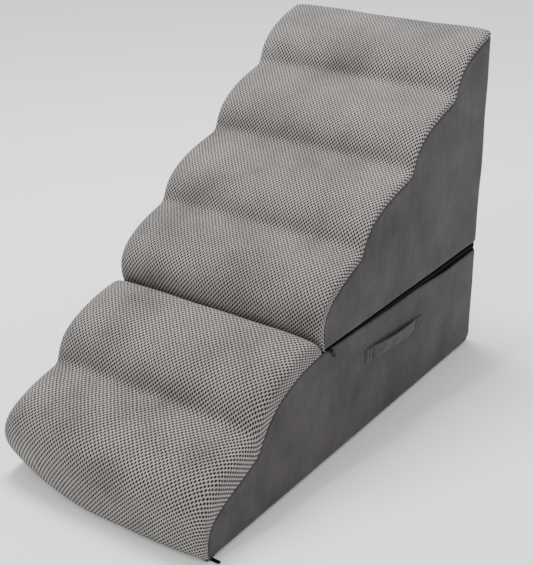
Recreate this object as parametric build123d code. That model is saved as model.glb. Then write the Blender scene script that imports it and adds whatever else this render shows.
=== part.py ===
from build123d import *

import os

# Two-part foam dog ramp with wavy treads. Millimetres. X runs across the ramp, Y from the
# nose at the front to the back, Z up. The origin is on the floor, midway along and across.

# ---- overall sizes ----
WIDTH = 500.0
LENGTH = 1035.0
LOWER_H = 250.0  # the lower block's deck, where the upper block stands
HEIGHT = 750.0
DECK_START = 385.0  # from the nose to the front of the deck
DECK_LIP = 5.0  # the lower block's last wave meets the deck this far ahead of the upper block
LIFT_GAP = 0.3  # between the two blocks

# ---- cloth ----
MESH_T = 3.0  # spacer mesh on the treads
PANEL_T = 2.0  # velvet with its backing
SEAM_DROP_LOWER = 46.0  # how far the mesh wraps down the sides of the lower block
SEAM_DROP_UPPER = 18.0

# ---- zip fasteners: nylon coils on woven tape ----
TAPE_T = 0.6
TAPE_W = 7.0
COIL_W = 2.3
COIL_T = 2.4
COIL_GAP = 1.6  # between the two coils, where the slider's wedge runs
COIL_EDGE = COIL_GAP / 2 + COIL_W
SLIDER_L = 12.0
SLIDER_W = 10.0
SLIDER_T = 5.0
CHANNEL_W = 7.0
CHANNEL_T = 3.0
TAPE_SLOT = 1.3
WEDGE_T = 0.9
BRIDGE_REACH = 2.4  # from the slider's middle to each foot of its bridge
BRIDGE_H = 2.9
BRIDGE_W = 0.8
BRIDGE_T = 1.0
PULL_L = 26.0
PULL_W = 7.6
PULL_T = 1.5
PULL_ARM = 1.0
PULL_EYE = 6.2  # length of the eye that goes round the bridge
EYE_LAP = 0.5  # how far the eye's arms run into the tab
PULL_RISE = 0.9  # height of the pull's middle above the slider's face
PULL_ASKEW = -52.0  # a hanging pull lies down and along its zip

# ---- joining zip, all round between the blocks ----
JOIN_Z = LOWER_H + LIFT_GAP / 2
REBATE_H = 10.0
REBATE_IN = 9.0
RING_CORNER = 12.0
JOIN_SLIDER_AT = 24.0  # from the deck's front edge to the slider's middle
BOX_L = 3.2
GROOVE_AHEAD = 2.0  # the rebate starts this far ahead of the deck's front
SLIDER_ROOM = 1.0
LOWER_PANEL_TOP = LOWER_H - 6
UPPER_PANEL_FOOT = LOWER_H + 8
PANEL_SET = 4.0  # the velvet stops this far from the deck's front edge

# ---- cover zips: one under the nose, one across the back of the upper block ----
LOWER_ZIP_IN = 30.0
LOWER_ZIP_FROM = -100.0  # the zip under the nose runs from here to the right side
FLOOR_ROOM = 0.5  # between the lower slider's bridge and the floor
LOWER_ZIP_Z = SLIDER_T / 2 + BRIDGE_H + FLOOR_ROOM
UPPER_ZIP_Z = 296.0
ZIP_MARGIN = 24.0
SLIT_W = 12.0
POCKET_W = 21.0
POCKET_D = 4.0
FACING_W = 2.0
STOP_L = 2.0
COIL_IN = 3.0  # from the end of a slit to the coil
POCKET_ROOM = 1.0
PARK_ROOM = 2.0

# ---- carrying strap on the right side ----
STRAP_FROM = 534.0
STRAP_TO = 777.0
STRAP_Z = 172.0
STRAP_W = 32.0
STRAP_T = 3.0
STRAP_END = 34.0
STRAP_BOW = 7.5

SIDE = WIDTH / 2
INNER = SIDE - PANEL_T
FRONT = -LENGTH / 2
BACK = LENGTH / 2
BACK_INNER = BACK - PANEL_T
DECK_Y = FRONT + DECK_START
UPPER_Z = LOWER_H + LIFT_GAP
FAR = 2 * LENGTH


# ---- helpers ----
def block(x0, x1, y0, y1, z0, z1):
    """A box given by its limits."""
    middle = ((x0 + x1) / 2, (y0 + y1) / 2, (z0 + z1) / 2)
    return Pos(*middle) * Box(x1 - x0, y1 - y0, z1 - z0)


def across(outline, half_width=SIDE):
    """A solid of a side outline, in (distance from nose, height), to both sides of the middle."""
    face = Pos(0, FRONT, 0) * make_face(Plane.YZ * outline)
    return extrude(face, amount=half_width, dir=(1, 0, 0), both=True)


def wave(start, end, rise_bend=(0.07, 0.42), tread_bend=(0.17, 0.70)):
    """One tier: a steep riser, a round nose and a gently climbing tread."""
    run = end[0] - start[0]
    rise = end[1] - start[1]
    bends = [(start[0] + run * u, start[1] + rise * v) for u, v in (rise_bend, tread_bend)]
    return Bezier(start, *bends, end)


def tiers(notches):
    """The waves between a list of notches."""
    waves = [wave(start, end) for start, end in zip(notches, notches[1:])]
    return Curve() + waves


def upper_notches(drop):
    """Where the upper block's tiers meet, front to back, a given drop below the crown."""
    return [(517, 416 - drop), (705, 526 - drop), (877, 640 - drop), (LENGTH, HEIGHT - drop)]


# ---- the two blocks ----
def lower_block(shift=0.0):
    """The whole lower block; shifted in by the mesh, it is the room inside the mesh."""
    deck_edge = (DECK_START - DECK_LIP, LOWER_H)
    first = Bezier((7, 0), (-10, 150), (10, 160), (169, 185))
    second = wave((169, 185), (341, 296), (0.03, 0.50), (0.20, 0.80))
    tuck = Bezier((341, 296), (368, 300), (372, 272), deck_edge)
    rest = Polyline(deck_edge, (LENGTH, LOWER_H), (LENGTH, 0), (7, 0))
    return Pos(0, shift, -shift) * across(first + second + tuck + rest)


def upper_block(shift=0.0):
    """The whole upper block; its first tier leans out over the lower block."""
    notches = upper_notches(0)
    base = (DECK_START, UPPER_Z)
    first = Bezier(base, (342, 335), (372, 385), notches[0])
    rest = Polyline((LENGTH, HEIGHT), (LENGTH, UPPER_Z), base)
    return Pos(0, shift, -shift) * across(first + tiers(notches) + rest)


def lower_side():
    """The part of the lower block's sides that is velvet, below the seam with the mesh."""
    notch = (172, 182 - SEAM_DROP_LOWER)
    top = (DECK_START - PANEL_SET, LOWER_PANEL_TOP)
    first = Bezier((20, PANEL_T), (14, 82), (38, 78), notch)
    second = wave(notch, top, (0.14, 0.50), (0.35, 0.88))
    rest = Polyline(top, (LENGTH, LOWER_PANEL_TOP), (LENGTH, PANEL_T), (20, PANEL_T))
    return across(first + second + rest)


def upper_side():
    """The part of the upper block's sides that is velvet."""
    notches = upper_notches(SEAM_DROP_UPPER)
    base = (DECK_START + PANEL_SET, UPPER_PANEL_FOOT)
    first = Bezier(base, (372, 330), (400, 355), notches[0])
    rest = Polyline(notches[-1], (LENGTH, UPPER_PANEL_FOOT), base)
    return across(first + tiers(notches) + rest)


def side_panels(region):
    """The left and right velvet plates of a block."""
    left = region & block(-SIDE, -INNER, -FAR, FAR, 0, FAR)
    right = region & block(INNER, SIDE, -FAR, FAR, 0, FAR)
    return left, right


def rebate(z0, front):
    """The room cut out of a block's edge all round, where the joining zip lies."""
    outer = block(-FAR, FAR, front, FAR, z0, z0 + REBATE_H)
    core_x = SIDE - REBATE_IN
    core = block(-core_x, core_x, DECK_Y + REBATE_IN, BACK - REBATE_IN, z0, z0 + REBATE_H)
    return outer - core


def ring(inset, thickness, z0, z1):
    """A band standing on edge all round the deck, its outer face inset from the sides."""
    width = WIDTH - 2 * inset
    depth = BACK - DECK_Y - 2 * inset
    band = RectangleRounded(width, depth, RING_CORNER)
    band -= RectangleRounded(width - 2 * thickness, depth - 2 * thickness, RING_CORNER - thickness)
    return extrude(Pos(0, (BACK + DECK_Y) / 2, z0) * band, amount=z1 - z0)


def carry_strap():
    """A flat strap sewn down at both ends, bowed out for the fingers in between."""
    y0 = FRONT + STRAP_FROM
    y1 = FRONT + STRAP_TO
    middle = (y0 + y1) / 2
    in0, in1 = y0 + STRAP_END, y1 - STRAP_END
    out = SIDE + STRAP_T
    outer = Polyline((SIDE, y0), (out, y0), (out, in0))
    outer += ThreePointArc((out, in0), (out + STRAP_BOW, middle), (out, in1))
    outer += Polyline((out, in1), (out, y1), (SIDE, y1), (SIDE, in1))
    outer += ThreePointArc((SIDE, in1), (SIDE + STRAP_BOW, middle), (SIDE, in0))
    outer += Line((SIDE, in0), (SIDE, y0))
    return extrude(Pos(0, 0, STRAP_Z - STRAP_W / 2) * make_face(outer), amount=STRAP_W)


# ---- zip hardware, each in its zip's frame: X along the travel, Z out of the cloth ----
JOIN_ZIP = Plane((INNER - TAPE_T / 2, DECK_Y + JOIN_SLIDER_AT, JOIN_Z), (0, 1, 0), (1, 0, 0))
LOWER_ZIP = Plane((0, FRONT + LOWER_ZIP_IN, LOWER_ZIP_Z), (1, 0, 0), (0, 0, -1))
UPPER_ZIP = Plane((0, BACK_INNER - TAPE_T / 2, UPPER_ZIP_Z), (-1, 0, 0), (0, 1, 0))
LOWER_HOME = SIDE - SLIDER_L / 2 - PARK_ROOM  # where each cover zip's slider is parked
UPPER_HOME = SIDE - ZIP_MARGIN - SLIDER_L


def slider():
    """Two plates tied by the wedge at the nose, with a bridge for the pull."""
    body = fillet(Box(SLIDER_L, SLIDER_W, SLIDER_T).edges().filter_by(Axis.Z), SLIDER_W / 5)
    body -= Box(SLIDER_L + 1, CHANNEL_W, CHANNEL_T)
    body -= Box(SLIDER_L + 1, SLIDER_W + 1, TAPE_SLOT)
    body += Pos(SLIDER_L / 2 - WEDGE_T, 0, 0) * Box(WEDGE_T, WEDGE_T, SLIDER_T - 1)
    bar_z = SLIDER_T / 2 + BRIDGE_H - BRIDGE_T / 2
    body += Pos(0, 0, bar_z) * Box(2 * BRIDGE_REACH + BRIDGE_T, BRIDGE_W, BRIDGE_T)
    for foot in (-BRIDGE_REACH, BRIDGE_REACH):
        body += Pos(foot, 0, SLIDER_T / 2 + BRIDGE_H / 2) * Box(BRIDGE_T, BRIDGE_W, BRIDGE_H)
    return body


def pull(angle):
    """The flat pull with its eye round the bridge, turned in the plane of the slider."""
    tab_l = PULL_L - PULL_EYE
    tab = extrude(SlotOverall(tab_l, PULL_W), amount=PULL_T / 2, both=True)
    tab -= Pos(tab_l / 2 - PULL_W / 2, 0, 0) * Cylinder(PULL_ARM, PULL_T)
    tab += Pos(PULL_W / 4 - tab_l / 2, 0, 0) * Box(PULL_W / 2, PULL_W, PULL_T)
    whole = Pos(PULL_EYE + tab_l / 2, 0, 0) * tab
    whole += Rot(90, 0, 0) * Cylinder(PULL_ARM / 2, PULL_W)
    arm_l = PULL_EYE + EYE_LAP
    arm_y = (PULL_W - PULL_ARM) / 2
    for side in (-arm_y, arm_y):
        whole += Pos(arm_l / 2, side, 0) * Box(arm_l, PULL_ARM, PULL_ARM)
    return Pos(0, 0, SLIDER_T / 2 + PULL_RISE) * Rot(0, 0, angle) * whole


def zip_rows(place, x0, x1, side):
    """One straight tape of a cover zip and the coil on its edge."""
    length = x1 - x0
    middle = (x0 + x1) / 2
    tape_y = side * (COIL_EDGE + TAPE_W / 2)
    coil_y = side * (COIL_EDGE - COIL_W / 2)
    tape = place * Pos(middle, tape_y, 0) * Box(length, TAPE_W, TAPE_T)
    coil = place * Pos(middle, coil_y, 0) * Box(length, COIL_W, COIL_T)
    return tape, coil


def end_stop(place, x):
    """The metal clip that ends a coil."""
    return place * Pos(x, 0, 0) * Box(STOP_L, 2 * COIL_EDGE, CHANNEL_T)


# ---- sub-assemblies: each returns its nodes by name ----
def build_lower():
    """The lower block: foam, covers, strap and the fixed half of the joining zip."""
    whole = lower_block()
    inside = lower_block(MESH_T)
    velvet = lower_side()
    groove = rebate(LOWER_H - REBATE_H, DECK_Y - GROOVE_AHEAD)
    base = whole & block(-FAR, FAR, -FAR, FAR, 0, PANEL_T)
    pocket = block(LOWER_ZIP_FROM, FAR, LOWER_ZIP.origin.Y - POCKET_W / 2,
                   LOWER_ZIP.origin.Y + POCKET_W / 2, 0, LOWER_ZIP_Z + POCKET_D)
    slit = block(LOWER_ZIP_FROM, FAR, LOWER_ZIP.origin.Y - SLIT_W / 2,
                 LOWER_ZIP.origin.Y + SLIT_W / 2, 0, PANEL_T)
    left, right = side_panels(velvet)
    foam = inside & block(-INNER, INNER, -FAR, BACK_INNER, PANEL_T, FAR)
    cover = whole - (inside & block(-INNER, INNER, -FAR, FAR, 0, FAR)) - velvet - base
    cover &= block(-FAR, FAR, -FAR, DECK_Y - GROOVE_AHEAD, 0, FAR)
    core_x = SIDE - REBATE_IN
    facing_y = POCKET_W / 2 - FACING_W
    zip_y = LOWER_ZIP.origin.Y
    facing_top = LOWER_ZIP_Z - TAPE_T / 2
    front_facing = block(LOWER_ZIP_FROM, INNER, zip_y - POCKET_W / 2, zip_y - facing_y,
                         PANEL_T, facing_top)
    rear_facing = block(LOWER_ZIP_FROM, INNER, zip_y + facing_y, zip_y + POCKET_W / 2,
                        PANEL_T, facing_top)
    return {
        "lower_foam_core": foam - groove - pocket,
        "lower_tread_cover": cover - pocket,
        "lower_left_panel": left,
        "lower_right_panel": right - pocket,
        "lower_back_panel": block(-INNER, INNER, BACK_INNER, BACK, PANEL_T, LOWER_PANEL_TOP),
        "lower_base_panel": base - slit,
        "lower_deck_panel": block(-core_x, core_x, DECK_Y + REBATE_IN, BACK - REBATE_IN,
                                  LOWER_H - MESH_T, LOWER_H),
        "lower_zip_facings": Compound(children=[front_facing, rear_facing]),
        "carry_strap": carry_strap(),
    }


def build_upper():
    """The upper block: foam and covers."""
    whole = upper_block()
    inside = upper_block(MESH_T)
    velvet = upper_side()
    groove = rebate(UPPER_Z, -FAR)
    pocket_x = SIDE - ZIP_MARGIN
    pocket = block(-pocket_x, pocket_x, BACK_INNER - POCKET_D, FAR,
                   UPPER_ZIP_Z - POCKET_W / 2, UPPER_ZIP_Z + POCKET_W / 2)
    slit = block(-pocket_x, pocket_x, BACK_INNER, BACK,
                 UPPER_ZIP_Z - SLIT_W / 2, UPPER_ZIP_Z + SLIT_W / 2)
    left, right = side_panels(velvet)
    core = inside & block(-INNER, INNER, -FAR, FAR, UPPER_Z, FAR)
    cover = whole - core - velvet - groove
    foam = core & block(-INNER, INNER, -FAR, BACK_INNER, UPPER_Z + PANEL_T, FAR)
    back = core & block(-INNER, INNER, BACK_INNER, BACK, UPPER_PANEL_FOOT, FAR)
    base_x = SIDE - REBATE_IN
    return {
        "upper_foam_core": foam - groove - pocket,
        "upper_tread_cover": cover,
        "upper_left_panel": left,
        "upper_right_panel": right,
        "upper_back_panel": back - slit,
        "upper_base_panel": block(-base_x, base_x, DECK_Y + REBATE_IN, BACK - REBATE_IN,
                                  UPPER_Z, UPPER_Z + PANEL_T),
    }


def build_join_zip():
    """The zip all round between the blocks, with its slider parked at the right front."""
    coil_inset = PANEL_T + TAPE_T / 2 - COIL_T / 2
    low = JOIN_Z - COIL_EDGE
    high = JOIN_Z + COIL_EDGE
    run_start = DECK_Y + PANEL_T + RING_CORNER
    box_end = run_start + BOX_L
    slider_end = DECK_Y + JOIN_SLIDER_AT + SLIDER_L / 2 + SLIDER_ROOM
    lower_coil = ring(coil_inset, COIL_T, low, JOIN_Z - COIL_GAP / 2)
    upper_coil = ring(coil_inset, COIL_T, JOIN_Z + COIL_GAP / 2, high)
    box_x = INNER - TAPE_T / 2
    return {
        "join_zip_lower_tape": ring(PANEL_T, TAPE_T, LOWER_H - REBATE_H, low),
        "join_zip_upper_tape": ring(PANEL_T, TAPE_T, high, UPPER_Z + REBATE_H),
        "join_zip_lower_coil": lower_coil - block(0, FAR, run_start, box_end, 0, FAR),
        "join_zip_upper_coil": upper_coil - block(0, FAR, run_start, slider_end, 0, FAR),
        "join_zip_box": block(box_x - CHANNEL_T / 2, box_x + CHANNEL_T / 2,
                              run_start, box_end, low, JOIN_Z + COIL_GAP),
        "join_zip_slider": JOIN_ZIP * slider(),
        "join_zip_pull": JOIN_ZIP * pull(PULL_ASKEW),
    }


def build_cover_zip(name, place, x0, x1, home, angle):
    """A straight cover zip: tapes, coils, an end stop, and the slider with its pull."""
    first_tape, first_coil = zip_rows(place, x0, x1, -1)
    second_tape, second_coil = zip_rows(place, x0, x1, 1)
    parked = place * Pos(home, 0, 0)
    return {
        f"{name}_zip_tape_a": first_tape,
        f"{name}_zip_tape_b": second_tape,
        f"{name}_zip_coil_a": first_coil,
        f"{name}_zip_coil_b": second_coil,
        f"{name}_zip_end_stop": end_stop(place, x0 - STOP_L / 2),
        f"{name}_zip_slider": parked * slider(),
        f"{name}_zip_pull": parked * pull(angle),
    }


nodes = {}
nodes.update(build_lower())
nodes.update(build_upper())
nodes.update(build_join_zip())
nodes.update(build_cover_zip("lower", LOWER_ZIP, LOWER_ZIP_FROM + COIL_IN, SIDE - COIL_IN,
                             LOWER_HOME, 0))
nodes.update(build_cover_zip("upper", UPPER_ZIP, ZIP_MARGIN - SIDE + COIL_IN,
                             SIDE - ZIP_MARGIN - POCKET_ROOM, UPPER_HOME, PULL_ASKEW))

os.makedirs("parts", exist_ok=True)
for node, shape in nodes.items():
    export_step(shape, f"parts/{node}.step")
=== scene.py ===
"""Dresses the two-part foam dog ramp: net treads, velvet sides, zips and the carrying strap."""

import logging
import math
from dataclasses import dataclass, field, replace
from enum import Enum
from functools import cached_property
from typing import Callable

import bpy
import numpy as np
from mathutils import Matrix, Vector


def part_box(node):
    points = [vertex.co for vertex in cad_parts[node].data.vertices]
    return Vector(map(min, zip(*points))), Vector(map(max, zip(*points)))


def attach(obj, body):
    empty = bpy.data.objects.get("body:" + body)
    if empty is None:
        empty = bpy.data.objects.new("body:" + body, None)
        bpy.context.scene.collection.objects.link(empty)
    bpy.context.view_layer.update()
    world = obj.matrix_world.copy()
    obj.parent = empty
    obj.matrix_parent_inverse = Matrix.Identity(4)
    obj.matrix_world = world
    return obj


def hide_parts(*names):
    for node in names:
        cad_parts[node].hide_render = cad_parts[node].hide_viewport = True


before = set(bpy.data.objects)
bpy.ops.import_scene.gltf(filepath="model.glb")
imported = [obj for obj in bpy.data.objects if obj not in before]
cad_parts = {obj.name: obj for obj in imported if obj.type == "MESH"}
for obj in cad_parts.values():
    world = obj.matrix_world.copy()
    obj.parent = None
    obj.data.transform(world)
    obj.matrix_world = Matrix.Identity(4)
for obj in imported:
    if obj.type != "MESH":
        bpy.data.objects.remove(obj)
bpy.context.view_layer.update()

LOG = logging.getLogger("ramp")

Point = tuple[float, float]
Bend = tuple[Point, Point, Point, Point]
Place = tuple[float, float, float]
Tint = tuple[float, float, float, float]

MM = 0.001
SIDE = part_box("lower_right_panel")[1].x
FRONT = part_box("lower_tread_cover")[0].y
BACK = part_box("lower_back_panel")[1].y
JOIN_Z = (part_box("join_zip_lower_coil")[1].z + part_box("join_zip_upper_coil")[0].z) / 2
DECK_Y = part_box("join_zip_lower_tape")[0].y
UP = np.array([0.0, 0.0, 1.0])


class Body(Enum):
    """The moving bodies that pieces ride on."""

    LOWER = "lower_block"
    UPPER = "upper_block"


class Slot(Enum):
    """The record's material slots, one stored with each piece made here."""

    FOAM = "foam"
    MESH = "spacer_mesh"
    VELVET = "velvet"
    BASE = "base_cloth"
    TAPE = "zip_tape"
    COIL = "zip_coil"


class Row(Enum):
    """The two rows of a zip, by how many pitches along it each row's first tooth stands."""

    FIRST = 0.5
    SECOND = 1.0


def corners_of(node: str) -> tuple[np.ndarray, np.ndarray]:
    """The lowest and highest corners of a solid part's box."""
    low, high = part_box(node)
    return np.array(low), np.array(high)


def add_object(name: str, data: bpy.types.ID) -> bpy.types.Object:
    """Adds an object to the scene.

    Args:
        name: the object's name.
        data: its mesh, light or camera.

    Returns:
        The new object.
    """
    obj = bpy.data.objects.new(name, data)
    bpy.context.scene.collection.objects.link(obj)
    return obj


# ---------------------------------------------------------------- shader building
class Graph:
    """Adds shader nodes to a tree and joins them."""

    def __init__(self, tree: bpy.types.NodeTree) -> None:
        """Starts on a tree, laying nodes out from left to right."""
        self.tree = tree
        self.made = 0

    def add(self, kind: str, **settings: object) -> bpy.types.Node:
        """Makes one node.

        Args:
            kind: the node's type name.
            settings: properties set on the node.

        Returns:
            The new node.
        """
        node = self.tree.nodes.new(kind)
        node.location = (190 * (self.made % 9), -230 * (self.made // 9))
        self.made += 1
        for name, value in settings.items():
            setattr(node, name, value)
        return node

    def plug(self, socket: bpy.types.NodeSocket, value: object) -> None:
        """Joins a socket to an input, or stores a plain value in it.

        Args:
            socket: the input.
            value: another node's output, or a number, colour or vector.
        """
        if isinstance(value, bpy.types.NodeSocket):
            self.tree.links.new(value, socket)
        else:
            socket.default_value = value

    def feed(self, node: bpy.types.Node, **values: object) -> bpy.types.Node:
        """Sets a node's inputs by name, joining sockets and storing plain values.

        Args:
            node: the node to feed.
            values: input names, with spaces written as underscores.

        Returns:
            The same node.
        """
        for name, value in values.items():
            self.plug(node.inputs[name.replace("_", " ")], value)
        return node

    def math(self, operation: str, *terms: object) -> bpy.types.NodeSocket:
        """One arithmetic step on sockets or numbers.

        Args:
            operation: the Math node's operation.
            terms: its operands in order.

        Returns:
            The result's socket.
        """
        node = self.add("ShaderNodeMath", operation=operation)
        for at, term in enumerate(terms):
            self.plug(node.inputs[at], term)
        return node.outputs[0]

    def ramp(self, value: object, low: float, high: float) -> bpy.types.NodeSocket:
        """A soft step from 0 at low to 1 at high.

        Args:
            value: the socket to step.
            low: where the step starts.
            high: where it ends.

        Returns:
            The stepped value's socket.
        """
        node = self.add("ShaderNodeMapRange", interpolation_type="SMOOTHSTEP")
        self.feed(node, Value=value, From_Min=low, From_Max=high)
        return node.outputs[0]

    def blend(self, share: object, first: object, second: object) -> bpy.types.NodeSocket:
        """Two colours mixed by a share.

        Args:
            share: 0 for the first colour, 1 for the second.
            first: a colour or its socket.
            second: a colour or its socket.

        Returns:
            The mixed colour's socket.
        """
        node = self.add("ShaderNodeMix", data_type="RGBA")
        for at, value in ((0, share), (6, first), (7, second)):
            self.plug(node.inputs[at], value)
        return node.outputs[2]

    def noise(self, where: object, scale: float, detail: float = 3.0) -> bpy.types.NodeSocket:
        """Cloudy noise from 0 to 1.

        Args:
            where: the coordinates' socket.
            scale: features to a metre.
            detail: how many finer layers it has.

        Returns:
            The noise value's socket.
        """
        node = self.add("ShaderNodeTexNoise")
        self.feed(node, Vector=where, Scale=scale, Detail=detail)
        return node.outputs[0]

    def place(self, stretch: Place = (1, 1, 1)) -> bpy.types.NodeSocket:
        """The ramp's own coordinates in metres, stretched along each axis."""
        node = self.add("ShaderNodeVectorMath", operation="MULTIPLY")
        self.plug(node.inputs[0], self.add("ShaderNodeTexCoord").outputs["Object"])
        self.plug(node.inputs[1], stretch)
        return node.outputs[0]


@dataclass(frozen=True)
class GroupSpec:
    """A shared effect: its name, its inputs and outputs, and how its inside is wired."""

    name: str
    inputs: tuple[tuple[str, str, object], ...]
    outputs: tuple[tuple[str, str], ...]
    wire: Callable[[Graph, dict], dict]

    def tree(self) -> bpy.types.NodeTree:
        """The group's node tree, made on first use.

        Returns:
            The shared tree.
        """
        if self.name in bpy.data.node_groups:
            return bpy.data.node_groups[self.name]
        tree = bpy.data.node_groups.new(self.name, "ShaderNodeTree")
        for name, kind, value in self.inputs:
            socket = tree.interface.new_socket(name, in_out="INPUT", socket_type=kind)
            socket.default_value = value
        for name, kind in self.outputs:
            tree.interface.new_socket(name, in_out="OUTPUT", socket_type=kind)
        graph = Graph(tree)
        source = graph.add("NodeGroupInput")
        sink = graph.add("NodeGroupOutput")
        made = self.wire(graph, {name: source.outputs[name] for name, _, _ in self.inputs})
        for name, socket in made.items():
            tree.links.new(socket, sink.inputs[name])
        return tree

    def use(self, graph: Graph, **values: object) -> bpy.types.Node:
        """Puts the group into a material.

        Args:
            graph: the material's graph.
            values: the group's inputs by name.

        Returns:
            The group node.
        """
        node = graph.add("ShaderNodeGroup", node_tree=self.tree())
        return graph.feed(node, **values)


def wire_mottle(graph: Graph, given: dict) -> dict:
    """Cloudy patches and long nap streaks between two colours."""
    patches = graph.noise(graph.place(), 11.0, 4.0)
    streaks = graph.noise(graph.place((70.0, 70.0, 16.0)), 1.0, 4.0)
    speckle = graph.noise(graph.place(), 900.0, 1.0)
    mixed = graph.math("MULTIPLY_ADD", patches, 0.78, graph.math("MULTIPLY", streaks, 0.22))
    share = graph.math("MULTIPLY_ADD", graph.math("SUBTRACT", mixed, 0.5), given["Spread"], 0.5)
    share = graph.math("MULTIPLY_ADD", graph.math("SUBTRACT", speckle, 0.5), 0.35, share)
    colour = graph.blend(graph.ramp(share, 0.1, 0.9), given["Dark"], given["Light"])
    return {"Colour": colour, "Height": speckle, "Patch": patches}


def wire_weave_and_shade(graph: Graph, given: dict) -> dict:
    """Crossed threads: a height, and a mask that is dark between the threads, marking where shade is
    painted.
    """
    waves = []
    for axis in ((1.0, 1.0, 0.35), (0.35, -1.0, 1.0)):
        node = graph.add("ShaderNodeVectorMath", operation="DOT_PRODUCT")
        graph.plug(node.inputs[0], graph.place())
        graph.plug(node.inputs[1], axis)
        turned = graph.math("MULTIPLY", node.outputs["Value"], given["Threads"])
        waves.append(graph.math("SINE", turned))
    height = graph.math("MULTIPLY", waves[0], waves[1])
    return {"Height": height, "Mask": graph.ramp(height, -0.7, 0.6)}


def wire_rub(graph: Graph, given: dict) -> dict:
    """Handling marks: patches where a surface has been rubbed."""
    broad = graph.noise(graph.place(), 120.0, 4.0)
    fine = graph.noise(graph.place(), 900.0, 3.0)
    mixed = graph.math("MULTIPLY_ADD", broad, 0.6, graph.math("MULTIPLY", fine, 0.4))
    mask = graph.math("MULTIPLY", graph.ramp(mixed, 0.42, 0.68), given["Amount"])
    return {"Mask": mask, "Height": fine}


GREY: Tint = (0.1, 0.1, 0.1, 1.0)
MOTTLE = GroupSpec(
    "Mottle",
    (
        ("Dark", "NodeSocketColor", GREY),
        ("Light", "NodeSocketColor", GREY),
        ("Spread", "NodeSocketFloat", 1.0),
    ),
    (("Colour", "NodeSocketColor"), ("Height", "NodeSocketFloat"), ("Patch", "NodeSocketFloat")),
    wire_mottle,
)
WEAVE = GroupSpec(
    "Crossed threads",
    (("Threads", "NodeSocketFloat", 5000.0),),
    (("Height", "NodeSocketFloat"), ("Mask", "NodeSocketFloat")),
    wire_weave_and_shade,
)
RUB = GroupSpec(
    "Rubbed patches",
    (("Amount", "NodeSocketFloat", 1.0),),
    (("Mask", "NodeSocketFloat"), ("Height", "NodeSocketFloat")),
    wire_rub,
)


class Finish:
    """One material, made on first use and shared by every piece that wears it."""

    title = "finish"

    def material(self) -> bpy.types.Material:
        """The finished material.

        Returns:
            The material, made on the first call.
        """
        if self.title in bpy.data.materials:
            return bpy.data.materials[self.title]
        material = bpy.data.materials.new(self.title)
        material.use_nodes = True
        material.node_tree.nodes.clear()
        graph = Graph(material.node_tree)
        surface = graph.add("ShaderNodeBsdfPrincipled")
        output = graph.add("ShaderNodeOutputMaterial")
        graph.plug(output.inputs[0], surface.outputs[0])
        self.dress(graph, surface)
        return material

    def dress(self, graph: Graph, surface: bpy.types.Node) -> None:
        """Feeds the surface; each finish has its own."""

    @staticmethod
    def bump(graph: Graph, height: object, rise: float, strength: float = 1.0) -> object:
        """A bump of a real height.

        Args:
            graph: the material's graph.
            height: the height's socket, from 0 to 1.
            rise: the full height in metres.
            strength: how strongly it shows.

        Returns:
            The normal's socket.
        """
        node = graph.add("ShaderNodeBump")
        graph.feed(node, Height=height, Distance=rise, Strength=strength)
        return node.outputs[0]


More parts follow.
